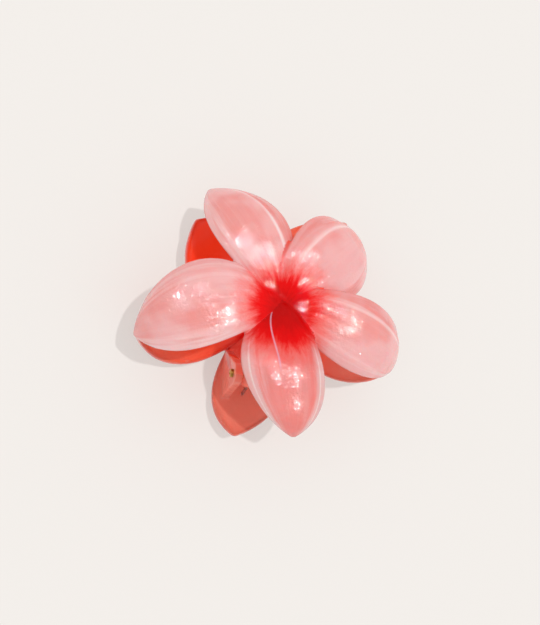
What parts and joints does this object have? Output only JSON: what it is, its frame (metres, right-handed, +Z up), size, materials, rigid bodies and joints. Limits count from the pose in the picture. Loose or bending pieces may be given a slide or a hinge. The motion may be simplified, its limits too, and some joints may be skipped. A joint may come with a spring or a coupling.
{
  "type": "flower hair clip",
  "caption": "Claw hair clip of two pink petalled flower mouldings on a hinge pin, closed by a torsion spring.",
  "frame": {"origin": "on the surface that the clip lies on, under the middle of its box", "axes": "+X along the hinge pin, +Y from the handles to the jaws, +Z up, the way the front flower faces"},
  "size_m": [0.0818, 0.0724, 0.0332],
  "materials": {
    "front_plastic": "polished clear pink plastic with pearl streaks and a red centre",
    "rear_plastic": "polished clear pink plastic with pearl streaks and a red centre",
    "pin_metal": "drawn brass",
    "spring_wire": "bright spring wire"
  },
  "bodies": {
    "rear": {"rear_flower_half": "rear_plastic", "hinge_pin": "pin_metal", "torsion_spring": "spring_wire"},
    "front": {"front_flower_half": "front_plastic"}
  },
  "joints": [
    {"name": "jaw_hinge", "type": "hinge", "parent": "rear", "child": "front", "pos_m": [0, -0.0181, 0.0167], "axis": [1, 0, 0], "range_deg": [0, 40], "stiffness_Nm_per_rad": 0.12, "springref_deg": -34.38, "deforming": ["torsion_spring"]}
  ]
}
